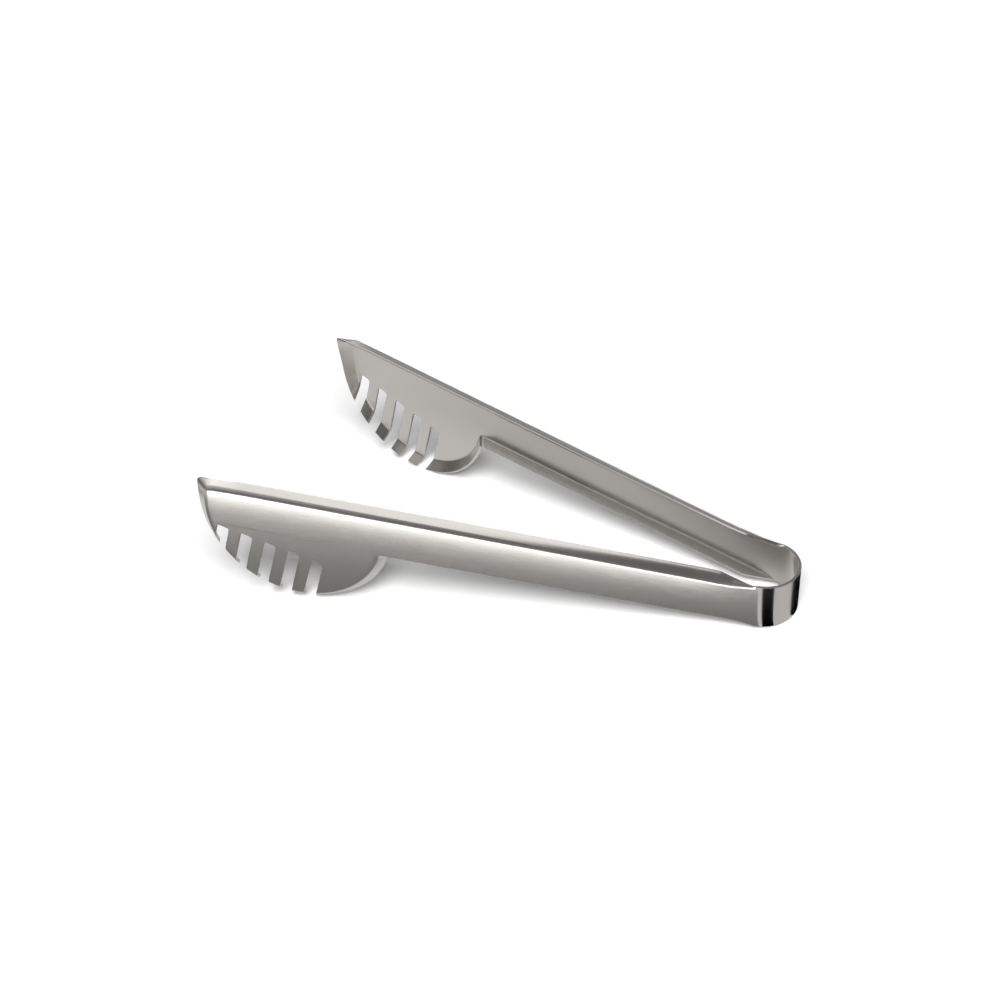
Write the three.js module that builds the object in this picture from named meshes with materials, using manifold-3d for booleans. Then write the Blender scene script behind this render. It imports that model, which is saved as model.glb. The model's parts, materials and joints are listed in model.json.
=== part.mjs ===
// Salad tongs pressed and bent from one strip of stainless steel sheet.
// The strip is flat round the bow, where it works as the spring, and each arm ends in a slotted,
// half-round blade. A lip is folded inwards along every edge of the arms.
// Units are millimetres, +Z is up, the bow is towards +X and the noses are towards -X.
import * as THREE from "three";
import { mergeVertices } from "three/addons/utils/BufferGeometryUtils.js";
import Module from "manifold-3d";

const wasm = await Module();
wasm.setup();

// Sheet and bow
const sheet = 1.2; // thickness of the steel
const bowRadius = 14; // outside of the bow
const bowHeight = 19; // height of the flat strip round the bow
const openAngle = THREE.MathUtils.degToRad(11.5); // how far each arm stands out at rest
const flexGap = 0.3; // left open in the strip where the bow bends

// Handle, with its heights taken between the folds
const handleHeight = 18.7; // at the blade
const handleHeightAtBow = 18;
const topStep = 0.8; // from the upper fold up to the edge of the flat strip
const flangeRise = 1.55; // how far the folded flange still stands proud of its fold
const flangeDepth = 4.75; // how far it reaches inwards
const flangeRunOut = 14.5; // length over which it grows from the flat strip
const foldSetback = 1.3; // from the sharp corner of a fold back to where its bend starts

// Blade
const discReach = 183.5; // from the end of the bow to the middle of the disc
const discDrop = 10.2; // from the upper fold down to the middle of the disc
const discRadius = 35.8; // to the fold
const lipRise = 4; // the disc's lip is more open than the handle's flange
const lipDepth = 4.2;
const noseRound = 2.2; // of the fold
const noseLean = THREE.MathUtils.degToRad(5.5); // the lip's edge is straight from there to the tip
const noseRise = 0; // of the flange's edge above the upper fold, at the tip
const noseEase = 11; // length over which the flange and the lip change towards the nose
const tipSoftness = 2; // how much the tip is rounded
const neckRound = 3.2; // of the fold
const neckEdgeRound = 3; // of the sheet's edge

// Slots, square to a row that leans down towards the handle
const slotCount = 5;
const slotPitch = 10;
const slotWidth = 4.9;
const slotLean = THREE.MathUtils.degToRad(13.6);
const slotDrop = 15.25; // from the middle of the disc to the slots' closed ends
const firstSlotLength = 5.75; // of its nose side, down to the fold
const slotNoseRound = 0.5; // the two corners of a closed end
const slotBowRound = 1.3;

// Facets
const bowSteps = 16;
const runOutSteps = 6;
const easeSteps = 5;
const noseSteps = 9;
const discSteps = 42;
const neckSteps = 6;
const foldSteps = 4;
const slotSteps = 3;

const setbackShare = 0.5; // a bend takes at most this share of a narrow lip
const leastFold = 1e-4; // radians: the lips end this flat at the bow
const overrun = 1; // of a cutter past what it cuts, and of the sheet into the bow's root
const weldShare = 0.05; // of the overrun, for the sheet's weld to the bow's root

const upperFold = bowHeight - topStep; // above the bow's lower edge
const bottomStep = upperFold - handleHeightAtBow; // from the lower fold down to that edge
const lipLength = Math.hypot(lipRise, lipDepth);
const firstSlotReach = Math.sqrt(discRadius ** 2 - (slotDrop + firstSlotLength) ** 2);

// Evenly spread shares from 0 to 1
function shares(steps) {
  return Array.from({ length: steps + 1 }, (_, i) => i / steps);
}

// A point at an angle on a circle
function around(centre, radius, angle) {
  return new THREE.Vector2(Math.cos(angle), Math.sin(angle)).multiplyScalar(radius).add(centre);
}

// An arm is drawn flat, x from the end of the bow towards the nose and y up from the upper fold.
const discCentre = new THREE.Vector2(discReach, -discDrop);

// The middle of the circle that rounds the fold at the nose, and where that meets the disc
const noseHeight = -noseRound - discCentre.y; // above the middle of the disc
const noseReach = Math.sqrt((discRadius - noseRound) ** 2 - noseHeight ** 2);
const noseCentre = new THREE.Vector2(discCentre.x + noseReach, -noseRound);
const noseEnd = Math.atan2(noseHeight, noseReach);

// Near the nose the edge runs in two straight lines, which meet at the tip.
const discEdge = discRadius + lipRise;
const frontNormal = new THREE.Vector2(Math.cos(noseLean), -Math.sin(noseLean));
const easeStart = new THREE.Vector2(noseCentre.x - noseEase, flangeRise);
const tipReach = (discEdge + frontNormal.y * (discCentre.y - noseRise)) / frontNormal.x;
const topNormal = new THREE.Vector2(
  flangeRise - noseRise,
  discCentre.x + tipReach - easeStart.x,
).normalize();

// Where the disc meets the lower line: the circle that fills the neck, and where it meets the disc
function neckCorner(radius, bottom, round) {
  const y = bottom - round;
  const reach = Math.sqrt((radius + round) ** 2 - (y - discCentre.y) ** 2);
  const centre = new THREE.Vector2(discCentre.x - reach, y);
  return { centre, start: Math.atan2(discCentre.y - y, reach) };
}

// Points round the neck, from the disc to the lower line
function neckLine(radius, bottom, round) {
  const neck = neckCorner(radius, bottom, round);
  return shares(neckSteps).map((t) =>
    around(neck.centre, round, THREE.MathUtils.lerp(neck.start, Math.PI / 2, t)),
  );
}

// How far the sheet's edge is from a point, looking out along a line towards the disc or the nose
function edgeReach(origin, out) {
  if (out.y <= frontNormal.y) return discEdge;
  const beyond = discEdge - frontNormal.dot(origin.clone().sub(discCentre));
  const toFront = beyond / frontNormal.dot(out);
  const toTop = easeStart.clone().sub(origin).dot(topNormal) / topNormal.dot(out);
  if (toFront < 0) return toTop;
  const overlap = Math.max(tipSoftness - Math.abs(toFront - toTop), 0);
  return Math.min(toFront, toTop) - overlap ** 2 / (4 * tipSoftness);
}

// The run-out at the bow, where the lips grow from the flat strip
function runOut(foldHeight, step, side) {
  return shares(runOutSteps).map((t) => {
    const x = t * flangeRunOut;
    const rise = THREE.MathUtils.lerp(step, flangeRise, t);
    return {
      fold: new THREE.Vector2(x, foldHeight),
      edge: new THREE.Vector2(x, foldHeight + side * rise),
      depth: t * flangeDepth,
    };
  });
}

// Depth of the disc's lip, at a distance along the disc from the nose
function lipDepthAt(distance) {
  const t = THREE.MathUtils.smoothstep(distance, 0, noseEase);
  return THREE.MathUtils.lerp(flangeDepth, lipDepth, t);
}

// A station that looks out from a point, with the fold at a distance
function outlook(origin, angle, foldDistance, depth) {
  const out = around(new THREE.Vector2(), 1, angle);
  return {
    fold: out.clone().multiplyScalar(foldDistance).add(origin),
    edge: out.clone().multiplyScalar(edgeReach(origin, out)).add(origin),
    depth,
  };
}

// The places along an arm's edge where its section is known, counter-clockwise seen from outside
function stations() {
  const top = shares(easeSteps).map((t) => {
    const origin = new THREE.Vector2(noseCentre.x - (1 - t) * noseEase, 0);
    return outlook(origin, Math.PI / 2, 0, flangeDepth);
  });
  const tip = shares(noseSteps).slice(1).map((t) => {
    const angle = THREE.MathUtils.lerp(Math.PI / 2, noseEnd, t);
    return outlook(noseCentre, angle, noseRound, flangeDepth);
  });
  const discStart = tip.at(-1).fold;
  const discEnd = neckCorner(discRadius, -handleHeight, neckRound).start - Math.PI;
  const disc = shares(discSteps).slice(1).map((t) => {
    const angle = THREE.MathUtils.lerp(noseEnd, discEnd, t);
    const depth = lipDepthAt(around(discCentre, discRadius, angle).distanceTo(discStart));
    return outlook(discCentre, angle, discRadius, depth);
  });
  const neckFold = neckLine(discRadius, -handleHeight, neckRound);
  const neckEdge = neckLine(discRadius + lipRise, -handleHeight - flangeRise, neckEdgeRound);
  const neck = neckFold.map((fold, i) => ({
    fold,
    edge: neckEdge[i],
    depth: THREE.MathUtils.lerp(lipDepth, flangeDepth, i / neckSteps),
  }));
  const upper = runOut(0, topStep, 1);
  const lower = runOut(-handleHeightAtBow, bottomStep, -1).reverse();
  const weld = new THREE.Vector2(overrun * weldShare, 0);
  upper.unshift(welded(upper[0], weld));
  lower.push(welded(lower.at(-1), weld));
  return [
    ...upper,
    ...top,
    ...tip,
    ...disc,
    ...neck.slice(1),
    ...lower,
  ].reverse();
}

// The last station, carried a little way into the bow's root
function welded(station, weld) {
  return {
    fold: station.fold.clone().sub(weld),
    edge: station.edge.clone().sub(weld),
    depth: station.depth,
  };
}

// The section across a folded edge: the outer and the inner skin, from the flat web to the lip's end
function section({ fold, edge, depth }) {
  const out = edge.clone().sub(fold);
  const rise = out.length();
  out.normalize();
  const angle = Math.max(Math.atan2(depth, rise), leastFold);
  const setback = Math.min(foldSetback, Math.hypot(rise, depth) * setbackShare);
  const bend = setback / Math.tan(angle / 2);
  const point = (along, inwards) =>
    new THREE.Vector3(fold.x + out.x * along, fold.y + out.y * along, -inwards);
  const arc = (radius) =>
    shares(foldSteps).map((t) =>
      point(radius * Math.sin(angle * t) - setback, bend - radius * Math.cos(angle * t)),
    );
  return {
    outer: [...arc(bend), point(rise, depth)],
    inner: [
      ...arc(bend - sheet),
      point(rise - sheet * Math.sin(angle), depth + sheet * Math.cos(angle)),
    ],
  };
}

// The pressed sheet of one arm, without slots, as a closed mesh
function pressedSheet() {
  const sections = stations().map(section);
  const rings = foldSteps + 2;
  const outerAt = (i, j) => i * rings + j;
  const innerAt = (i, j) => (sections.length + i) * rings + j;
  const points = [
    ...sections.flatMap((s) => s.outer),
    ...sections.flatMap((s) => s.inner),
  ];
  const faces = [];
  const quad = (a, b, c, d) => faces.push([a, b, c], [a, c, d]);

  const web = sections.map((s) => new THREE.Vector2(s.outer[0].x, s.outer[0].y));
  for (const [a, b, c] of THREE.ShapeUtils.triangulateShape(web, [])) {
    faces.push([outerAt(a, 0), outerAt(b, 0), outerAt(c, 0)]);
    faces.push([innerAt(c, 0), innerAt(b, 0), innerAt(a, 0)]);
  }
  for (let i = 0; i + 1 < sections.length; i++) {
    for (let j = 0; j + 1 < rings; j++) {
      quad(outerAt(i, j), outerAt(i, j + 1), outerAt(i + 1, j + 1), outerAt(i + 1, j));
      quad(innerAt(i, j), innerAt(i + 1, j), innerAt(i + 1, j + 1), innerAt(i, j + 1));
    }
    const j = rings - 1;
    quad(outerAt(i, j), innerAt(i, j), innerAt(i + 1, j), outerAt(i + 1, j));
  }
  const last = sections.length - 1;
  const ring = Array.from({ length: rings }, (_, j) => j);
  const root = [...ring.map((j) => [last, rings - 1 - j]), ...ring.map((j) => [0, j])];
  for (let k = 0; k + 1 < root.length; k++) {
    const [from, to] = [root[k], root[k + 1]];
    quad(outerAt(...from), innerAt(...from), innerAt(...to), outerAt(...to));
  }
  const geometry = new THREE.BufferGeometry().setFromPoints(points);
  geometry.setIndex(faces.flat());
  return geometry;
}

// The side of a slot past the fold, drawn in towards the disc by the pressing
function slotSide(x) {
  const shrink = lipRise / lipLength;
  return shares(slotSteps).map((t) => {
    const flat = discRadius + t * (lipLength + overrun);
    const y = -Math.sqrt(flat ** 2 - x ** 2);
    const pressed = discRadius + (flat - discRadius) * shrink;
    return new THREE.Vector2(x, y).multiplyScalar(pressed / flat);
  });
}

// A slot's outline about the disc's middle, before the row is leant
function slotOutline(noseSide) {
  const bowSide = noseSide - slotWidth;
  const shape = new THREE.Shape();
  shape.moveTo(bowSide + slotBowRound, -slotDrop);
  shape.lineTo(noseSide - slotNoseRound, -slotDrop);
  shape.quadraticCurveTo(noseSide, -slotDrop, noseSide, -slotDrop - slotNoseRound);
  slotSide(noseSide).forEach((p) => shape.lineTo(p.x, p.y));
  slotSide(bowSide).reverse().forEach((p) => shape.lineTo(p.x, p.y));
  shape.lineTo(bowSide, -slotDrop - slotBowRound);
  shape.quadraticCurveTo(bowSide, -slotDrop, bowSide + slotBowRound, -slotDrop);
  return shape;
}

// The row of slots, cut through the web and the lip
function slotCutters() {
  const depth = overrun + lipDepth + sheet + overrun;
  return Array.from({ length: slotCount }, (_, i) => {
    const shape = slotOutline(firstSlotReach - i * slotPitch);
    const cutter = new THREE.ExtrudeGeometry(shape, {
      depth,
      bevelEnabled: false,
      curveSegments: slotSteps,
    });
    return cutter
      .translate(0, 0, overrun - depth)
      .rotateZ(slotLean)
      .translate(discCentre.x, discCentre.y, 0);
  });
}

// A length of the bow between two angles from its apex, standing on its lower edge
function bowSector(from, to) {
  const shape = new THREE.Shape();
  shape.absarc(0, 0, bowRadius, from, to, false);
  shape.absarc(0, 0, bowRadius - sheet, to, from, true);
  return new THREE.ExtrudeGeometry(shape, {
    depth: bowHeight,
    bevelEnabled: false,
    curveSegments: bowSteps,
  });
}

// From geometry to a solid that can be cut and joined, and back
function solid(geometry) {
  const bare = new THREE.BufferGeometry().setIndex(geometry.index);
  bare.setAttribute("position", geometry.getAttribute("position"));
  const merged = mergeVertices(bare);
  return new wasm.Manifold(
    new wasm.Mesh({
      numProp: 3,
      vertProperties: merged.getAttribute("position").array,
      triVerts: new Uint32Array(merged.index.array),
    }),
  );
}

function faceted(result) {
  const { vertProperties, triVerts } = result.getMesh();
  const geometry = new THREE.BufferGeometry();
  geometry.setAttribute("position", new THREE.BufferAttribute(vertProperties, 3));
  geometry.setIndex(new THREE.BufferAttribute(triVerts, 1));
  return geometry;
}

// The strip bends at the middle of each half of the bow, where the arms are hinged in its place.
const halfBow = Math.PI / 2 - openAngle;
const flexAngle = halfBow / 2;
const flexGapAngle = flexGap / (bowRadius - sheet / 2);

// The right arm, with its half of the bow's flank
function armGeometry() {
  const along = new THREE.Vector3(-Math.cos(openAngle), Math.sin(openAngle), 0);
  const up = new THREE.Vector3(0, 0, 1);
  const outwards = new THREE.Vector3().crossVectors(along, up);
  const place = new THREE.Matrix4().makeBasis(along, up, outwards);
  place.setPosition(outwards.clone().multiplyScalar(bowRadius).addScaledVector(up, upperFold));
  const cutters = slotCutters().map(solid);
  const slotted = cutters.reduce((arm, cutter) => arm.subtract(cutter), solid(pressedSheet()));
  const blade = solid(faceted(slotted).applyMatrix4(place));
  const flank = solid(bowSector(flexAngle + flexGapAngle / 2, halfBow));
  return faceted(blade.add(flank));
}

// How far the tongs lean back when the two discs and the bow rest on a table
function restingPitch() {
  const discX = (bowRadius - lipDepth) * Math.sin(openAngle) - discReach * Math.cos(openAngle);
  const discZ = upperFold - discDrop;
  const span = bowRadius - discX;
  return Math.asin((discRadius + lipRise) / Math.hypot(span, discZ)) - Math.atan2(discZ, span);
}

function steel(color, roughness) {
  return new THREE.MeshStandardMaterial({ color, roughness, metalness: 1 });
}

const tongs = new THREE.Group();

const bow = new THREE.Mesh(
  bowSector(-flexAngle + flexGapAngle / 2, flexAngle - flexGapAngle / 2),
  steel(0xc9c7c3, 0.18),
);
bow.name = "spring_bow";
tongs.add(bow);

const rightArm = new THREE.Mesh(armGeometry(), steel(0xc4c1bc, 0.26));
rightArm.name = "right_arm";
tongs.add(rightArm);

const leftArm = new THREE.Mesh(rightArm.geometry, steel(0xc4c1bc, 0.26));
leftArm.name = "left_arm";
leftArm.scale.y = -1;
tongs.add(leftArm);

// The tongs stand on their lower edge, with the middle of their box over the origin.
tongs.rotation.y = restingPitch();
const group = new THREE.Group();
group.add(tongs);
group.updateMatrixWorld(true);
const box = new THREE.Box3().setFromObject(group, true);
const middle = box.getCenter(new THREE.Vector3());
tongs.position.set(-middle.x, -middle.y, -box.min.z);

export default group;
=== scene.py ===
"""Salad tongs, bent from one strip of stainless steel sheet, on a white table.

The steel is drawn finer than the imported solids: each half of the tongs is one sheet with rounded edges
that bends round the bow. Its sizes are in millimetres until a mesh is made. The places of the lamps,
the cards and the camera are in metres.

An arm is laid out in its flat frame: x from the bow to the nose, y up from the top fold and z out from
the web's outer skin. A point of the sheet holds its place and then its place in the flat blank.
"""

import json
import math

import bpy
import numpy as np
from mathutils import Matrix, Quaternion, Vector


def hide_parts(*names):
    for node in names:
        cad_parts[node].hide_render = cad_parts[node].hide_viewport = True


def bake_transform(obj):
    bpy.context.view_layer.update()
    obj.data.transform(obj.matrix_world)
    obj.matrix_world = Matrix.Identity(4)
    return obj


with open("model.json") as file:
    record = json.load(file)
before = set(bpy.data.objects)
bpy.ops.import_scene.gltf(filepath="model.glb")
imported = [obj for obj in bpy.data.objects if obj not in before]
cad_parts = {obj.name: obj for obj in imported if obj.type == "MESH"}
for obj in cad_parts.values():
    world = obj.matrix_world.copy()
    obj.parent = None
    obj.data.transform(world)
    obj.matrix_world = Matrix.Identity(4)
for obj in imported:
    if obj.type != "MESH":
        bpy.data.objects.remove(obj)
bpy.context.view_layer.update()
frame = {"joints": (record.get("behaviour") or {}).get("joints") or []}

MM = 0.001
TINY = 1e-3
LEAST_LENGTH = 1e-12

# Sheet and bow
SHEET = 1.2
EDGE_ROUND = 0.25  # of the sheet's tumbled edges
EDGE_SHARE = 0.45  # of a narrow lip that such an edge may take
BOW_RADIUS = 14.0
BOW_HEIGHT = 19.0
OPEN_ANGLE = math.radians(11.5)  # of each arm from the middle plane
HALF_BOW = math.pi / 2 - OPEN_ANGLE

# Handle: height of its web, steps from the bow's edges to its folds, and its flanges
HANDLE_HEIGHT = 18.7
HANDLE_HEIGHT_AT_BOW = 18.0
TOP_STEP = 0.8
BOTTOM_STEP = 0.2
FLANGE_RISE = 1.55
FLANGE_DEPTH = 4.75
FLANGE_RUN_OUT = 14.5

# Folds: how far from the sharp corner the bend starts
FOLD_SETBACK = 1.3
TOP_SETBACK = 1.7
NOSE_SETBACK = 2.0
SETBACK_SHARE = 0.5  # of a narrow lip that the bend may take
LEAST_FOLD = 1e-4

# Curl of the top flange, which grows towards the bow
CURL = 0.75  # share of the flange's turn that lies in the flange itself where it runs out
CURL_END = 130.0
CURL_POWER = 1.5

# Crown of the web, which falls away towards the top fold
CROWN_DROP = 0.7
CROWN_SINK = 0.5  # share of that drop by which the web also comes down
CROWN_WIDTH = 16.0
CROWN_POWER = 2.5
CROWN_RUN_OUT = 25.0

# Blade: the disc and its lip, the nose and the neck
DISC = np.array([183.5, -10.2])
DISC_RADIUS = 35.8
LIP_RISE = 4.0
LIP_DEPTH = 4.2
NOSE_ROUND = 2.2
NOSE_LEAN = math.radians(5.5)  # below the disc's middle, where its edge goes straight on to the tip
TIP_RISE = 0.0  # of the tip over the top fold
NOSE_EASE = 11.0  # length over which the flange comes down to the tip
TIP_SOFTNESS = 2.0
CREASE_PASSES = 14  # that round the crease from the web's corner to the tip
CREASE_MARGIN = 5  # columns past the nose, at each end
NECK_ROUND = 3.2
NECK_EDGE_ROUND = 3.0

# Slots, which lean, with their closed ends in one line below the disc's middle
SLOTS = 5
SLOT_PITCH = 10.0
SLOT_WIDTH = 4.9
SLOT_LEAN = math.radians(13.6)
SLOT_DROP = 15.25
FIRST_SLOT_LENGTH = 5.75
SLOT_NOSE_ROUND = 0.5
SLOT_BOW_ROUND = 1.3
FIRST_SLOT = math.sqrt(DISC_RADIUS**2 - (SLOT_DROP + FIRST_SLOT_LENGTH) ** 2)
PRESSING = LIP_RISE / math.hypot(LIP_RISE, LIP_DEPTH)  # how far a folded lip draws in

# Fineness of the mesh
BOW_STEPS = 64
RUN_OUT_STEPS = 20
HANDLE_STEPS = 30
EASE_STEPS = 12
NOSE_STEPS = 32
NECK_STEPS = 20
TOOTH_STEPS = 8
DISC_STEP = math.radians(1.5)
FOLD_STEPS = 12
LIP_STEPS = 6
CORNER_STEPS = 6
RIM_STEPS = 3

# The flat blank that the sheet is bent from, as the map that the brushing follows
BLANK = "blank"
BLANK_CORNER = np.array([-25.0, -65.0])
BLANK_SIZE = 260.0

# Steel, with scratches and stains of a length along the strip and a width across it
STEEL = ((0.615, 0.592, 0.562, 1), (0.64, 0.617, 0.587, 1))
ROUGHNESS = (0.19, 0.25)
SCRATCH_SIZE = (14.0, 0.28)
SCRATCH_DETAIL = 4
SCRATCH_DEPTH = 0.001
SCRATCH_STRENGTH = 0.5
STAIN_SIZE = (9.0, 9.0)
STAIN_DETAIL = 5
BRUSHING = 0.85
ACROSS = 0.25  # of a turn: highlights spread across the brushing

# Light of the room: direction, angle of the full level, angle where it ends, level
SKY = 0.15
AMBIENT = 0.35  # share of it that reaches dull surfaces, such as the table's
LIGHTS = (
    ("front_light", (-0.43, -0.38, 0.82), 18, 27, 0.5),
    ("back_wall", (-0.2, 1, 0.1), 35, 55, 0.27),
    ("back_light", (-0.47, 0.68, 0.62), 8, 16, 1.5),
)
# The softbox overhead, which only the steel shows: its middle, its sides and its level
SOFTBOX = (-0.4, 0.2, 0.5)
SOFTBOX_SIDES = (0.82, 0.5)
SOFTBOX_LEVEL = 1.2
# The key light, which the steel doesn't show: where it comes from, how wide it looks and its strength
KEY = (0.38, -0.56, 0.74)
KEY_WIDTH = math.radians(36)
KEY_STRENGTH = 3.8

# The table, and the share of light that it gives back to other things, to the steel and to the camera
TABLE_SIDE = 6
TABLE_LIT = 0.8
TABLE_MIRRORED = 0.8
TABLE_SEEN = 1.09

# Cards on the table that only the steel shows, which paint reflections in it: corners, and the light that
# they give, if any
# Painted shade: a dark card in front of the near arm, which the web shows as the table's shade close to its
# foot
NEAR_SHADE_CARD = ((0.1030, -0.0132), (-0.118, -0.0575), (-0.3, -0.085), (-0.16, -0.17), (0.106, -0.0497))
# Painted highlight: a bright card further out in front, which gives the near web its white band under the
# top fold
FRONT_CARD = ((0.109, -0.0487), (-0.3, -0.23), (-0.4, -0.8), (0.12, -0.28))
# Painted reflection: a dark card far out to the left, which the steel shows in place of the lit table there
LEFT_CARD = ((-0.22, -0.06), (-2.5, -0.6), (-2.5, 1.5), (-0.22, 0.6))
# Painted reflection: black cards and a light one round the bow, which it shows as its dark and light bands
BOW_FRONT_CARD = ((0.1040, -0.0125), (0.1240, -0.0720), (0.1576, -0.0440), (0.1077, -0.0102))
BOW_MIDDLE_CARD = ((0.1080, -0.0100), (0.1580, -0.0436), (0.1640, 0.0300), (0.1123, -0.0034))
BOW_BACK_CARD = ((0.1125, -0.0030), (0.1650, 0.0305), (0.0850, 0.0800), (0.1080, 0.0090))
CARDS = (
    ("near_shade_card", NEAR_SHADE_CARD, 0.24),
    ("front_card", FRONT_CARD, 4.5),
    ("left_card", LEFT_CARD, 0.15),
    ("bow_front_card", BOW_FRONT_CARD, 0.0),
    ("bow_middle_card", BOW_MIDDLE_CARD, 0.68),
    ("bow_back_card", BOW_BACK_CARD, 0.0),
)
CARD_LIFT = 0.0002

# The camera, fitted to the outlines in the photograph
CAMERA = (0.408821, -0.609039, 0.538017)
CAMERA_AIM = (-0.01763, 0.01001, 0.02)
CAMERA_ROLL = math.radians(-10.956)
CAMERA_LENS = 81.979
CAMERA_SENSOR = 36
CAMERA_CLIP = (0.05, 20)


class Sheet:
    """Paired points of a bent sheet's two skins, and the faces on them.

    Room is the space for the rounding at points on the edge. The web and the crease at the nose are
    kept as numbers of points, for their normals.
    """

    def __init__(self):
        self.outer = []
        self.inner = []
        self.faces = []
        self.room = {}
        self.web = []
        self.crease = []

    def add(self, outer, inner):
        """Adds arrays of paired points and returns their numbers in the same array shape."""
        first = len(self.outer)
        shape = outer.shape[:-1]
        self.outer.extend(outer.reshape(-1, outer.shape[-1]))
        self.inner.extend(inner.reshape(-1, inner.shape[-1]))
        return np.arange(first, first + int(np.prod(shape))).reshape(shape)

    def add_flat(self, places):
        """The same for places on the flat web."""
        outer = np.column_stack([places, np.zeros(len(places)), places])
        return self.add(outer, outer - [0, 0, SHEET, 0, 0])

    def grid(self, ids):
        """Faces between rows of points, the first index along the edge and the second towards it."""
        a, b = ids[:-1, :-1], ids[:-1, 1:]
        c, d = ids[1:, 1:], ids[1:, :-1]
        self.faces.extend(np.stack([a, b, c, d], -1).reshape(-1, 4).tolist())

    def grid_to_edge(self, ids):
        """The same for rows that end at the sheet's edge, which leave room there for its rounding."""
        self.grid(ids)
        for last, before in zip(ids[:, -1], ids[:, -2]):
            self.room[last] = np.linalg.norm((self.outer[last] - self.outer[before])[:3])


def profile(rise, depth, setback=FOLD_SETBACK, curl=0):
    """Rows across a folded edge, as distances out from the fold and in from the web: both skins.

    The fold turns the sheet all the way, but for the share that the lip itself curls on.
    """
    angle = max(math.atan2(depth, rise), LEAST_FOLD)
    setback = min(setback, math.hypot(rise, depth) * SETBACK_SHARE)
    bend = setback / math.tan(angle / 2)
    fold_turn = angle * (1 - curl)
    turned = np.linspace(0, fold_turn, FOLD_STEPS + 1)
    arc = np.stack([bend * np.sin(turned) - setback, bend - bend * np.cos(turned)], -1)
    lip, lip_turned = lip_rows(np.array([rise, depth]) - arc[-1], fold_turn, curl)
    turned = np.concatenate([turned, lip_turned])
    outer = np.concatenate([arc, arc[-1] + lip])
    return [outer, outer + SHEET * np.stack([-np.sin(turned), np.cos(turned)], -1)]


def lip_rows(chord, fold_turn, curl):
    """Rows of the lip from the fold's end on, straight or curled, and how far the sheet has turned."""
    t = np.linspace(0, 1, LIP_STEPS + 1)[1:]
    if not curl:
        return t[:, None] * chord, np.full(LIP_STEPS, fold_turn)
    lip_turn = 2 * (math.atan2(chord[1], chord[0]) - fold_turn)
    radius = np.linalg.norm(chord) / (2 * math.sin(lip_turn / 2))
    turned = fold_turn + t * lip_turn
    reach = np.stack([np.sin(turned) - math.sin(fold_turn), math.cos(fold_turn) - np.cos(turned)], -1)
    return radius * reach, turned


def column(fold, edge, depth, *shape):
    """The rows of both skins at one place along the arm's edge: each point, and its place in the blank."""
    out = np.subtract(edge, fold)
    rise = np.linalg.norm(out)
    out = out / rise
    skins = []
    for rows in profile(rise, depth, *shape):
        unfolded = rows[:, :1] + rows[:, 1:]
        skins.append(np.column_stack([fold + rows[:, :1] * out, -rows[:, 1], fold + unfolded * out]))
    return skins


def polar(centre, radius, angle):
    """The point at an angle on a circle."""
    return centre + radius * np.array([math.cos(angle), math.sin(angle)])


def neck_corner(radius, bottom, round_):
    """Middle of the round corner between a handle edge and a circle about the disc, and where it ends."""
    y = bottom - round_
    reach = math.sqrt((radius + round_) ** 2 - (y - DISC[1]) ** 2)
    return np.array([DISC[0] - reach, y]), math.atan2(DISC[1] - y, reach)


# Corners of the blade's folds and edges
NOSE_HEIGHT = -NOSE_ROUND - DISC[1]
NOSE_REACH = math.sqrt((DISC_RADIUS - NOSE_ROUND) ** 2 - NOSE_HEIGHT**2)
NOSE = np.array([DISC[0] + NOSE_REACH, -NOSE_ROUND])
NOSE_END = math.atan2(NOSE_HEIGHT, NOSE_REACH)
DISC_EDGE = DISC_RADIUS + LIP_RISE
FRONT_NORMAL = np.array([math.cos(NOSE_LEAN), -math.sin(NOSE_LEAN)])
EASE_START = np.array([NOSE[0] - NOSE_EASE, FLANGE_RISE])
TIP_X = DISC[0] + (DISC_EDGE + FRONT_NORMAL[1] * (DISC[1] - TIP_RISE)) / FRONT_NORMAL[0]
TOP_NORMAL = np.array([FLANGE_RISE - TIP_RISE, TIP_X - EASE_START[0]])
TOP_NORMAL /= np.linalg.norm(TOP_NORMAL)
FOLD_NECK, FOLD_NECK_START = neck_corner(DISC_RADIUS, -HANDLE_HEIGHT, NECK_ROUND)
EDGE_NECK, EDGE_NECK_START = neck_corner(DISC_EDGE, -HANDLE_HEIGHT - FLANGE_RISE, NECK_EDGE_ROUND)


def run_out(height, step, side, *shape):
    """Columns along the bow's end of a handle edge, where the flange grows."""
    columns = []
    for t in np.linspace(0, 1, RUN_OUT_STEPS + 1):
        x = t * FLANGE_RUN_OUT
        rise = step + t * (FLANGE_RISE - step)
        columns.append(column((x, height), (x, height + side * rise), t * FLANGE_DEPTH, *shape))
    return columns


def flange(start, end, setback=FOLD_SETBACK, curl=0):
    """Columns along a handle edge between two places, given as (fold, edge)."""
    columns = []
    for t in np.linspace(0, 1, HANDLE_STEPS + 1)[1:-1]:
        fold, edge = ((1 - t) * np.asarray(a) + t * np.asarray(b) for a, b in zip(start, end))
        share = max(CURL_END - fold[0], 0) / (CURL_END - FLANGE_RUN_OUT)
        columns.append(column(fold, edge, FLANGE_DEPTH, setback, share**CURL_POWER * curl))
    return columns


def neck():
    """Columns round the neck, from the handle to the disc."""
    columns = []
    for t in np.linspace(0, 1, NECK_STEPS + 1):
        fold_angle = math.pi / 2 + t * (FOLD_NECK_START - math.pi / 2)
        edge_angle = math.pi / 2 + t * (EDGE_NECK_START - math.pi / 2)
        fold = polar(FOLD_NECK, NECK_ROUND, fold_angle)
        edge = polar(EDGE_NECK, NECK_EDGE_ROUND, edge_angle)
        columns.append(column(fold, edge, FLANGE_DEPTH + t * (LIP_DEPTH - FLANGE_DEPTH)))
    return columns


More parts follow.
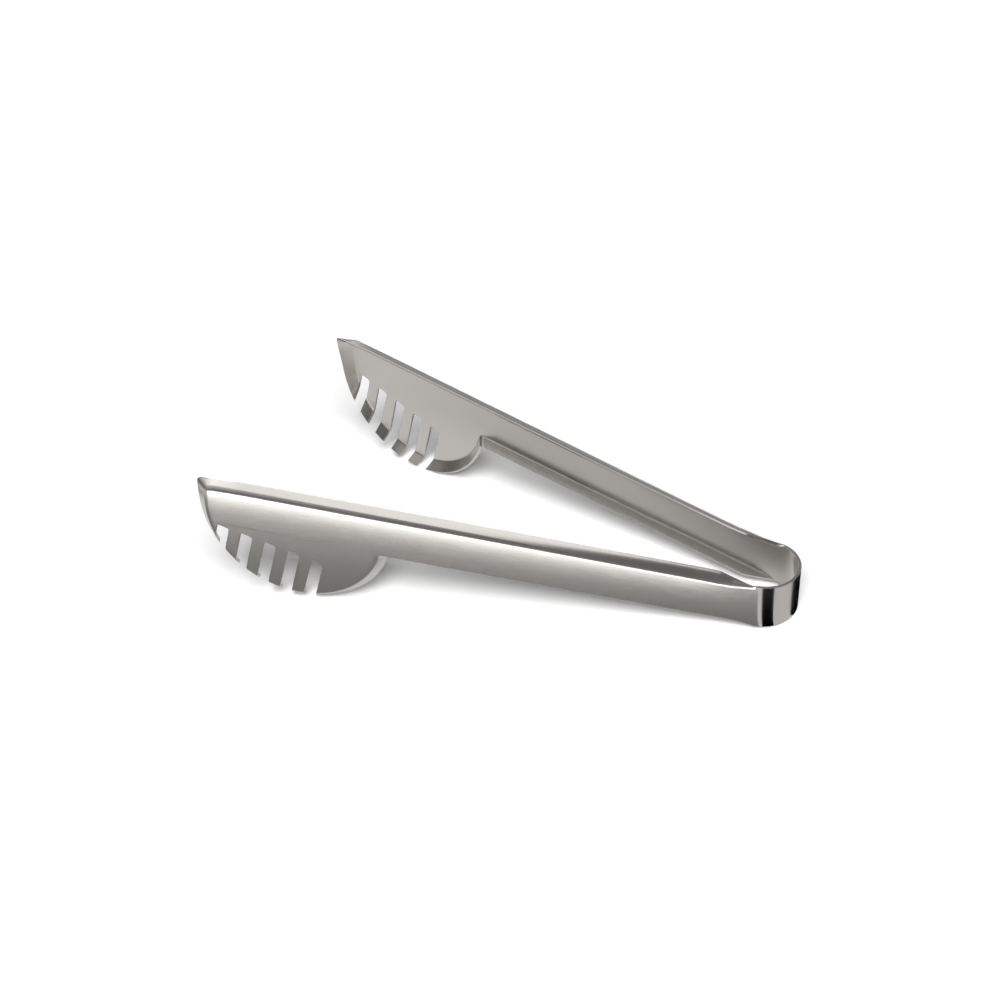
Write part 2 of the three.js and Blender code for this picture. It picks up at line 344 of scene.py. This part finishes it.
def edge_reach(origin, out):
    """How far the sheet's edge is from a point, looking out towards the disc or the nose."""
    if out[1] <= FRONT_NORMAL[1]:
        return DISC_EDGE
    to_front = (DISC_EDGE - FRONT_NORMAL @ (origin - DISC)) / (FRONT_NORMAL @ out)
    to_top = (TOP_NORMAL @ (EASE_START - origin)) / (TOP_NORMAL @ out)
    if to_front < 0:
        return to_top
    overlap = max(TIP_SOFTNESS - abs(to_front - to_top), 0)
    return min(to_front, to_top) - overlap**2 / (4 * TIP_SOFTNESS)


def outlook(origin, angle, fold_distance, depth, *shape):
    """The column that looks out from a point, with the fold at a distance."""
    out = np.array([math.cos(angle), math.sin(angle)])
    return column(origin + fold_distance * out, origin + edge_reach(origin, out) * out, depth, *shape)


def nose():
    """Columns round the nose, from the disc to the top line, and back along it to the full flange."""
    columns = []
    for t in np.linspace(0, 1, NOSE_STEPS + 1)[1:]:
        angle = NOSE_END + t * (math.pi / 2 - NOSE_END)
        columns.append(outlook(NOSE, angle, NOSE_ROUND, FLANGE_DEPTH, NOSE_SETBACK))
    for t in np.linspace(0, 1, EASE_STEPS + 1)[1:]:
        origin = np.array([NOSE[0] - t * NOSE_EASE, 0])
        setback = NOSE_SETBACK + t * (TOP_SETBACK - NOSE_SETBACK)
        columns.append(outlook(origin, math.pi / 2, 0, FLANGE_DEPTH, setback))
    return columns


def lip_shape(angle):
    """Depth and fold setback of the disc's lip, which change from the nose on."""
    chord = 2 * DISC_RADIUS * math.sin((NOSE_END - angle) / 2)
    t = min(chord / NOSE_EASE, 1)
    share = t * t * (3 - 2 * t)
    at_nose, at_disc = np.array([FLANGE_DEPTH, NOSE_SETBACK]), np.array([LIP_DEPTH, FOLD_SETBACK])
    return at_nose + share * (at_disc - at_nose)


def side_angles(side):
    """Where the rows of the disc's edge meet a slot side, as angles about the disc: both skins."""
    angles = []
    for rows in profile(LIP_RISE, LIP_DEPTH):
        past = rows[:, 0]
        flat = DISC_RADIUS + np.where(past > 0, past / PRESSING, past)
        angles.append(SLOT_LEAN - np.arccos(side / flat))
    return angles


def plain_angles(angle):
    """The same for a column that stands straight out from the disc."""
    rows = FOLD_STEPS + 1 + LIP_STEPS
    return [np.full(rows, angle), np.full(rows, angle)]


def disc_columns(start, end, steps=None):
    """Columns along the disc from one set of row angles to another, leaning with each of them."""
    span = end[0][0] - start[0][0]
    steps = steps or math.ceil(span / DISC_STEP)
    columns = []
    for t in np.linspace(0, 1, steps + 1):
        angle = start[0][0] + t * span
        skins = outlook(DISC, angle, DISC_RADIUS, *lip_shape(angle))
        for rows, first, last in zip(skins, start, end):
            lean = (1 - t) * (first - start[0][0]) + t * (last - end[0][0])
            turned = rows[:, :2] - DISC
            rows[:, 0] = DISC[0] + np.cos(lean) * turned[:, 0] - np.sin(lean) * turned[:, 1]
            rows[:, 1] = DISC[1] + np.sin(lean) * turned[:, 0] + np.cos(lean) * turned[:, 1]
        columns.append(skins)
    return columns


def curve(a, corner, b):
    """A rounded corner between two points."""
    t = np.linspace(0, 1, CORNER_STEPS + 1)[:, None]
    a, corner, b = (np.asarray(p, float) for p in (a, corner, b))
    return (1 - t) ** 2 * a + 2 * t * (1 - t) * corner + t**2 * b


def slot_end(nose_side):
    """The closed end of a slot, from its bow side to its nose side, in the arm's flat frame."""
    bow_side = nose_side - SLOT_WIDTH
    top = -SLOT_DROP
    points = np.concatenate(
        [
            curve((bow_side, top - SLOT_BOW_ROUND), (bow_side, top), (bow_side + SLOT_BOW_ROUND, top)),
            curve((nose_side - SLOT_NOSE_ROUND, top), (nose_side, top), (nose_side, top - SLOT_NOSE_ROUND)),
        ]
    )
    cos, sin = math.cos(SLOT_LEAN), math.sin(SLOT_LEAN)
    return points @ np.array([[cos, -sin], [sin, cos]]).T + DISC


def stacked(columns):
    """Columns of both skins as one array for each skin."""
    return [np.array([c[skin] for c in columns]) for skin in (0, 1)]


def low_strip(slot_side):
    """Columns along the low edge, from the bow to the bow side of the last slot."""
    start = ((FLANGE_RUN_OUT, -HANDLE_HEIGHT_AT_BOW), (FLANGE_RUN_OUT, -HANDLE_HEIGHT_AT_BOW - FLANGE_RISE))
    end = ((FOLD_NECK[0], -HANDLE_HEIGHT), (EDGE_NECK[0], -HANDLE_HEIGHT - FLANGE_RISE))
    handle = run_out(-HANDLE_HEIGHT_AT_BOW, BOTTOM_STEP, -1) + flange(start, end) + neck()
    neck_end = plain_angles(FOLD_NECK_START - math.pi)
    return handle + disc_columns(neck_end, side_angles(slot_side))[1:]


def top_line():
    """Columns along the top edge, from the full flange behind the nose back to the bow."""
    start = ((EASE_START[0], 0), EASE_START)
    end = ((FLANGE_RUN_OUT, 0), (FLANGE_RUN_OUT, FLANGE_RISE))
    return flange(start, end, TOP_SETBACK, CURL) + run_out(0, TOP_STEP, 1, TOP_SETBACK, CURL)[::-1]


def arm_sheet():
    """One arm's sheet in its flat frame, its plates, its open edge and the two ends at the bow."""
    sheet = Sheet()
    sides = [FIRST_SLOT - i * SLOT_PITCH for i in range(SLOTS)]
    strips = [low_strip(sides[-1] - SLOT_WIDTH)]
    for i in range(SLOTS - 1, 0, -1):
        tooth = side_angles(sides[i]), side_angles(sides[i - 1] - SLOT_WIDTH)
        strips.append(disc_columns(*tooth, steps=TOOTH_STEPS))
    last_disc = disc_columns(side_angles(sides[0]), plain_angles(NOSE_END))
    strips.append(last_disc + nose() + top_line())
    # Columns of that strip: at the web's top corner, and the last one below the crown
    turn = len(last_disc) + NOSE_STEPS - 1
    first = max(k for k, skins in enumerate(strips[-1][:turn]) if skins[0][0][1] < -CROWN_WIDTH)

    grids = [sheet.add(*stacked(columns)) for columns in strips]
    web, edge = outlines(sheet, grids, sides)
    web += grids[-1][: first + 1, 0].tolist()
    crown, tip = add_crown(sheet, grids[-1], first, turn)
    web += crown[:, 0].tolist()
    high = np.concatenate([crown[-1, :-1], grids[-1][-1]])
    sheet.web = [i for i, point in enumerate(sheet.outer) if point[2] > -TINY]
    sheet.crease = grids[-1][len(last_disc) - CREASE_MARGIN : turn + CREASE_MARGIN]
    sink_crown(sheet)
    return sheet, [web, tip], edge, grids[0][0], high


def outlines(sheet, grids, sides):
    """Joins the strips by the slots' ends. Returns the web's outline below the crown and the open edge."""
    web, edge = [], []
    for k, ids in enumerate(grids):
        sheet.grid_to_edge(ids)
        if k:
            closed = sheet.add_flat(slot_end(sides[SLOTS - k])).tolist()
            web += closed
            edge += closed + ids[0].tolist()
        edge += ids[1 if k else 0 :, -1].tolist()
        if k < len(grids) - 1:
            web += ids[:, 0].tolist()
            edge += ids[-1, -2::-1].tolist()
    return web, edge


def add_crown(sheet, ids, first, turn):
    """Faces of the web below the top fold, between the nose and the bow, and the last one at the nose."""
    fold = np.array([sheet.outer[i] for i in ids[:, 0]])
    foot, top = fold[first, 1], fold[turn, 1]
    share = (fold[first:turn, 1] - foot) / (top - foot)
    columns = []
    for k in range(turn, len(ids)):
        x, y = fold[k, :2]
        ys = foot + share * (y - foot)
        columns.append([*sheet.add_flat(np.column_stack([np.full(len(ys), x), ys])), ids[k, 0]])
    crown = np.array(columns)
    sheet.grid(crown)
    sheet.grid(np.column_stack([crown[0, :-1], ids[first:turn, 0]]))
    return crown, [crown[0, -2], ids[turn - 1, 0], ids[turn, 0]]


def crown_drop(x, y):
    """How far the web has sunk at a place: more towards the top fold, and nothing at the bow."""
    t = min(max(x / CROWN_RUN_OUT, 0), 1)
    u = max((y + CROWN_WIDTH) / CROWN_WIDTH, 0)
    sunk = u**CROWN_POWER if u < 1 else 1 + CROWN_POWER * (u - 1)
    return CROWN_DROP * sunk * t * t * (3 - 2 * t)


def sink_crown(sheet):
    """Bends the flat web to its crown, with all that it carries."""
    for skin in (sheet.outer, sheet.inner):
        for point in skin:
            drop = crown_drop(point[0], point[1])
            point[1] -= CROWN_SINK * drop
            point[2] -= drop


def crown_normal(point):
    """Normal of the web at a point of the flat frame, in the tongs' frame."""
    x, y = point
    slope_x = (crown_drop(x + TINY, y) - crown_drop(x - TINY, y)) / (2 * TINY)
    slope_y = (crown_drop(x, y + TINY) - crown_drop(x, y - TINY)) / (2 * TINY)
    ends = in_tongs_frame([[0, 0, 0], [slope_x, slope_y, 1]])
    return ends[1] - ends[0]


def in_tongs_frame(points):
    """From the right arm's flat frame to the frame of the tongs, with the bow's axis as z."""
    along = np.array([-math.cos(OPEN_ANGLE), math.sin(OPEN_ANGLE), 0])
    outwards = np.array([math.sin(OPEN_ANGLE), math.cos(OPEN_ANGLE), 0])
    basis = np.array([along, [0, 0, 1], outwards])
    origin = outwards * BOW_RADIUS + np.array([0, 0, BOW_HEIGHT - TOP_STEP])
    points = np.asarray(points)
    return np.column_stack([points[:, :3] @ basis + origin, points[:, 3:]])


def add_bow(sheet, low, high):
    """Bends the strip on from the arm's end to the middle of the bow. Returns its columns."""
    start = np.concatenate([low[::-1], high])
    heights = np.array([sheet.outer[i][2] for i in start])
    columns = [start]
    for angle in np.linspace(HALF_BOW, 0, BOW_STEPS + 1)[1:]:
        radial = np.array([math.cos(angle), math.sin(angle), 0])
        along = np.full(len(start), BOW_RADIUS * (angle - HALF_BOW))
        blank = np.column_stack([along, heights - BOW_HEIGHT + TOP_STEP])
        skins = [np.outer(heights, [0, 0, 1]) + radial * r for r in (BOW_RADIUS, BOW_RADIUS - SHEET)]
        columns.append(sheet.add(*(np.column_stack([skin, blank]) for skin in skins)))
    ids = np.array(columns)
    sheet.grid_to_edge(ids)
    for bottom in ids[:, 0]:
        sheet.room[bottom] = heights[1] - heights[0]
    return ids


def unit(v):
    """Vectors at length 1."""
    return v / np.maximum(np.linalg.norm(v, axis=-1, keepdims=True), LEAST_LENGTH)


def skin_normals(points, faces):
    """Normals of a skin, in which a large flat face counts for more than a small one."""
    normals = np.zeros_like(points)
    corners = points[faces]
    crossed = np.cross(corners[:, 2] - corners[:, 0], corners[:, 3] - corners[:, 1])
    for k in range(4):
        np.add.at(normals, faces[:, k], crossed)
    return unit(normals)


def soften(normals, columns):
    """Rounds the crease at the nose, by spreading the normals from column to column."""
    for _ in range(CREASE_PASSES):
        spread = normals[columns[:-2]] + 2 * normals[columns[1:-1]] + normals[columns[2:]]
        normals[columns[1:-1]] = unit(spread)


def outward(points, normals):
    """At each place on an open edge, the direction out of the sheet, mitred at corners."""
    step = unit(np.diff(points, axis=0))
    before = np.cross(np.vstack([step[:1], step]), normals)
    after = np.cross(np.vstack([step, step[-1:]]), normals)
    before, after = unit(before), unit(after)
    return (before + after) / (1 + np.sum(before * after, -1, keepdims=True))


def both_normals(sheet, outer, inner, bow):
    """Normals of both skins, which look the same way. On the web and round the bow they are exact."""
    faces = np.array(sheet.faces)
    web = unit(np.array([crown_normal(sheet.outer[i][3:]) for i in sheet.web]))
    around = unit(outer[bow.ravel()] * [1, 1, 0])
    skins = []
    for points in (outer, inner):
        normals = skin_normals(points, faces)
        soften(normals, sheet.crease)
        normals[sheet.web] = web
        normals[bow.ravel()] = around
        skins.append(normals)
    return skins


def half_sheet():
    """Half of the tongs: points, normals, places in the blank and faces, in the tongs' frame."""
    sheet, plates, edge, low, high = arm_sheet()
    sheet.outer = list(in_tongs_frame(sheet.outer))
    sheet.inner = list(in_tongs_frame(sheet.inner))
    bow = add_bow(sheet, low, high)
    edge = bow[:0:-1, 0].tolist() + edge + bow[1:, -1].tolist()

    outer, inner = np.array(sheet.outer), np.array(sheet.inner)
    blank = outer[:, 3:]
    outer, inner = outer[:, :3].copy(), inner[:, :3].copy()
    outer_normals, inner_normals = both_normals(sheet, outer, inner, bow)
    room = np.array([sheet.room.get(i, math.inf) for i in edge])
    radius = np.minimum(EDGE_ROUND, EDGE_SHARE * room)[:, None]
    rows = rim(outer, inner, outer_normals, inner_normals, edge, radius)
    points = np.vstack([outer, inner] + [row for row, _ in rows])
    normals = np.vstack([outer_normals, -inner_normals] + [row for _, row in rows])
    blank = np.vstack([blank, blank] + [blank[edge]] * len(rows))
    faces = closed_faces(sheet.faces + plates, edge, len(outer), len(rows))
    return points, unit(normals), blank, faces


def closed_faces(one_skin, edge, count, rim_rows):
    """Faces of both skins, each with its count of points, and of the rim between them."""
    faces = one_skin + [[i + count for i in face[::-1]] for face in one_skin]
    rim_points = 2 * count + np.arange(rim_rows * len(edge)).reshape(rim_rows, -1)
    rows = np.vstack([edge, rim_points, np.add(edge, count)])
    for upper, lower in zip(rows, rows[1:]):
        faces += np.stack([upper[1:], upper[:-1], lower[:-1], lower[1:]], -1).tolist()
    return faces


def rim(outer, inner, outer_normals, inner_normals, edge, radius):
    """Draws both skins back from the open edge and returns the rows of the rounded rim between them."""
    out_outer = outward(outer[edge], outer_normals[edge])
    out_inner = outward(inner[edge], inner_normals[edge])
    top_centre = outer[edge] - radius * (out_outer + outer_normals[edge])
    low_centre = inner[edge] - radius * (out_inner - inner_normals[edge])
    rows = []
    turned = np.linspace(0, math.pi / 2, RIM_STEPS + 1)[1:]
    for t in turned:
        normal = math.cos(t) * outer_normals[edge] + math.sin(t) * out_outer
        rows.append((top_centre + radius * normal, normal))
    for t in turned[::-1]:
        normal = -math.cos(t) * inner_normals[edge] + math.sin(t) * out_inner
        rows.append((low_centre + radius * normal, normal))
    outer[edge] -= radius * out_outer
    inner[edge] -= radius * out_inner
    return rows


def tongs_placement():
    """The tongs' frame in the part's frame, from the right arm's hinge."""
    hinge = next(j for j in frame["joints"] if j["name"] == "right_squeeze")
    lean = Matrix.Rotation(math.asin(hinge["axis"][0]), 4, "Y")
    middle = (BOW_RADIUS - SHEET / 2) * MM
    flex = HALF_BOW / 2
    pivot = Vector((middle * math.cos(flex), middle * math.sin(flex), BOW_HEIGHT / 2 * MM))
    return Matrix.Translation(Vector(hinge["pos_m"]) - lean @ pivot) @ lean


def make_half(name, side, placement, material):
    """One half of the tongs: side is 1 for the right one and -1 for the left one."""
    points, normals, blank, faces = half_sheet()
    mirror = np.array([1, side, 1])
    points, normals = points * mirror * MM, normals * mirror
    if side < 0:
        faces = [face[::-1] for face in faces]
    mesh = bpy.data.meshes.new(name)
    mesh.from_pydata(points.tolist(), [], faces)
    mesh.transform(placement)
    turn = np.array(placement.to_3x3())
    mesh.polygons.foreach_set("use_smooth", [True] * len(mesh.polygons))
    mesh.normals_split_custom_set_from_vertices((normals @ turn.T).tolist())
    map_blank(mesh, faces, blank)
    mesh.materials.append(material)
    half = bpy.data.objects.new(name, mesh)
    bpy.context.scene.collection.objects.link(half)
    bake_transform(half)
    return half


def map_blank(mesh, faces, blank):
    """Gives each corner of each face its place in the blank."""
    corners = np.array([corner for face in faces for corner in face])
    layer = mesh.uv_layers.new(name=BLANK)
    layer.uv.foreach_set("vector", ((blank[corners] - BLANK_CORNER) / BLANK_SIZE).ravel())


def new_material(name):
    """A material with its nodes and links."""
    material = bpy.data.materials.new(name)
    material.use_nodes = True
    return material, material.node_tree.nodes, material.node_tree.links


def blank_noise(nodes, links, size, detail):
    """Noise on the flat blank, with features of a size in millimetres along and across the strip."""
    place = nodes.new("ShaderNodeUVMap")
    place.uv_map = BLANK
    stretch = nodes.new("ShaderNodeMapping")
    stretch.inputs["Scale"].default_value = (BLANK_SIZE / size[0], BLANK_SIZE / size[1], 1)
    noise = nodes.new("ShaderNodeTexNoise")
    noise.noise_dimensions = "2D"
    noise.inputs["Scale"].default_value = 1
    noise.inputs["Detail"].default_value = detail
    links.new(place.outputs[0], stretch.inputs["Vector"])
    links.new(stretch.outputs[0], noise.inputs["Vector"])
    return noise.outputs["Fac"]


def steel_material():
    """Satin stainless steel, brushed along the strip."""
    material, nodes, links = new_material("satin_steel")
    shader = nodes["Principled BSDF"]
    shader.inputs["Metallic"].default_value = 1
    scratches = blank_noise(nodes, links, SCRATCH_SIZE, SCRATCH_DETAIL)
    stains = blank_noise(nodes, links, STAIN_SIZE, STAIN_DETAIL)
    rough = nodes.new("ShaderNodeMapRange")
    rough.inputs["To Min"].default_value, rough.inputs["To Max"].default_value = ROUGHNESS
    links.new(scratches, rough.inputs["Value"])
    links.new(rough.outputs[0], shader.inputs["Roughness"])
    tint = nodes.new("ShaderNodeMix")
    tint.data_type = "RGBA"
    tint.inputs["A"].default_value, tint.inputs["B"].default_value = STEEL
    links.new(stains, tint.inputs["Factor"])
    links.new(tint.outputs["Result"], shader.inputs["Base Color"])
    bump = nodes.new("ShaderNodeBump")
    bump.inputs["Strength"].default_value = SCRATCH_STRENGTH
    bump.inputs["Distance"].default_value = SCRATCH_DEPTH * MM
    links.new(scratches, bump.inputs["Height"])
    links.new(bump.outputs[0], shader.inputs["Normal"])
    shader.inputs["Anisotropic"].default_value = BRUSHING
    shader.inputs["Anisotropic Rotation"].default_value = ACROSS
    grain = nodes.new("ShaderNodeTangent")
    grain.direction_type = "UV_MAP"
    grain.uv_map = BLANK
    links.new(grain.outputs[0], shader.inputs["Tangent"])
    return material


def table_material():
    """White, and lighter to the camera, so that only the shadows show on it."""
    material, nodes, links = new_material("white_table")
    nodes.clear()
    out = nodes.new("ShaderNodeOutputMaterial")
    path = nodes.new("ShaderNodeLightPath")
    layers = []
    for level in (TABLE_LIT, TABLE_MIRRORED, TABLE_SEEN):
        layer = nodes.new("ShaderNodeBsdfDiffuse")
        layer.inputs["Color"].default_value = (level, level, level, 1)
        layers.append(layer.outputs[0])
    mirrored = nodes.new("ShaderNodeMath")
    mirrored.operation = "MAXIMUM"
    links.new(path.outputs["Is Glossy Ray"], mirrored.inputs[0])
    links.new(path.outputs["Is Transmission Ray"], mirrored.inputs[1])
    result = layers[0]
    for factor, layer in zip((mirrored.outputs[0], path.outputs["Is Camera Ray"]), layers[1:]):
        mix = nodes.new("ShaderNodeMixShader")
        links.new(factor, mix.inputs[0])
        links.new(result, mix.inputs[1])
        links.new(layer, mix.inputs[2])
        result = mix.outputs[0]
    links.new(result, out.inputs[0])
    return material


def make_table():
    """The white table that the tongs rest on."""
    bpy.ops.mesh.primitive_plane_add(size=TABLE_SIDE)
    table = bpy.context.object
    table.name = "table"
    table.data.materials.append(table_material())
    return table


def make_card(name, corners, level):
    """A card that lies on the table and is seen only as a reflection in the steel: a painted reflection."""
    mesh = bpy.data.meshes.new(name)
    mesh.from_pydata([(x, y, CARD_LIFT) for x, y in corners], [], [range(len(corners))])
    material, nodes, links = new_material(name)
    nodes.clear()
    shine = nodes.new("ShaderNodeEmission")
    shine.inputs["Strength"].default_value = level
    links.new(shine.outputs[0], nodes.new("ShaderNodeOutputMaterial").inputs[0])
    mesh.materials.append(material)
    card = bpy.data.objects.new(name, mesh)
    bpy.context.scene.collection.objects.link(card)
    card.visible_camera = card.visible_diffuse = card.visible_shadow = card.visible_transmission = False
    return card


def add_light(nodes, links, direction, light):
    """Mixes one of the room's lights into the level behind it. Returns the node."""
    name, towards, full, end, level = light
    facing = nodes.new("ShaderNodeVectorMath")
    facing.operation = "DOT_PRODUCT"
    links.new(direction, facing.inputs[0])
    facing.inputs[1].default_value = Vector(towards).normalized()
    share = nodes.new("ShaderNodeMapRange")
    share.interpolation_type = "SMOOTHSTEP"
    links.new(facing.outputs["Value"], share.inputs["Value"])
    share.inputs["From Min"].default_value = math.cos(math.radians(end))
    share.inputs["From Max"].default_value = math.cos(math.radians(full))
    mix = nodes.new("ShaderNodeMix")
    mix.label = name
    links.new(share.outputs[0], mix.inputs["Factor"])
    mix.inputs["A"].default_value = SKY
    mix.inputs["B"].default_value = level
    return mix


def make_world():
    """A white room for the camera, and round soft lights and dark walls for everything else."""
    world = bpy.data.worlds.new("studio")
    bpy.context.scene.world = world
    world.use_nodes = True
    nodes, links = world.node_tree.nodes, world.node_tree.links
    background = nodes["Background"]
    direction = nodes.new("ShaderNodeTexCoord").outputs["Generated"]
    mixes = [add_light(nodes, links, direction, light) for light in LIGHTS]
    for behind, mix in zip(mixes, mixes[1:]):
        links.new(behind.outputs["Result"], mix.inputs["A"])
    path = nodes.new("ShaderNodeLightPath")
    kept = nodes.new("ShaderNodeMapRange")
    kept.inputs["To Min"].default_value, kept.inputs["To Max"].default_value = 1, AMBIENT
    links.new(path.outputs["Is Diffuse Ray"], kept.inputs["Value"])
    reaching = nodes.new("ShaderNodeMath")
    reaching.operation = "MULTIPLY"
    links.new(mixes[-1].outputs["Result"], reaching.inputs[0])
    links.new(kept.outputs[0], reaching.inputs[1])
    seen = nodes.new("ShaderNodeMix")
    links.new(path.outputs["Is Camera Ray"], seen.inputs["Factor"])
    links.new(reaching.outputs[0], seen.inputs["A"])
    seen.inputs["B"].default_value = 1
    links.new(seen.outputs["Result"], background.inputs["Strength"])
    background.inputs["Color"].default_value = (1, 1, 1, 1)


def make_softbox():
    """The softbox overhead, as an area lamp for reflections alone."""
    width, depth = SOFTBOX_SIDES
    lamp = bpy.data.lights.new("softbox", "AREA")
    lamp.shape = "RECTANGLE"
    lamp.size, lamp.size_y = width, depth
    lamp.energy = SOFTBOX_LEVEL * math.pi * width * depth
    softbox = bpy.data.objects.new("softbox", lamp)
    softbox.location = SOFTBOX
    softbox.visible_camera = softbox.visible_diffuse = False
    bpy.context.scene.collection.objects.link(softbox)


def make_key():
    """The key light that throws the shadows on the table."""
    lamp = bpy.data.lights.new("key", "SUN")
    lamp.angle = KEY_WIDTH
    lamp.energy = KEY_STRENGTH
    key = bpy.data.objects.new("key", lamp)
    key.location = KEY
    key.rotation_euler = Vector(KEY).to_track_quat("Z", "Y").to_euler()
    key.visible_glossy = False
    bpy.context.scene.collection.objects.link(key)


def make_camera():
    """The camera at the photograph's place."""
    camera = bpy.data.objects.new("camera", bpy.data.cameras.new("camera"))
    bpy.context.scene.collection.objects.link(camera)
    turn = (Vector(CAMERA_AIM) - Vector(CAMERA)).to_track_quat("-Z", "Y")
    camera.location = CAMERA
    camera.rotation_mode = "QUATERNION"
    camera.rotation_quaternion = turn @ Quaternion((0, 0, 1), CAMERA_ROLL)
    camera.data.sensor_width = CAMERA_SENSOR
    camera.data.lens = CAMERA_LENS
    camera.data.clip_start, camera.data.clip_end = CAMERA_CLIP
    bpy.context.scene.camera = camera


placement = tongs_placement()
steel = steel_material()
right = make_half("right_half", 1, placement, steel)
left = make_half("left_half", -1, placement, steel)
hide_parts("right_arm", "spring_bow")
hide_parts("left_arm")
make_table()
for card in CARDS:
    make_card(*card)
make_world()
make_softbox()
make_key()
make_camera()
bpy.context.scene.view_settings.view_transform = "Standard"
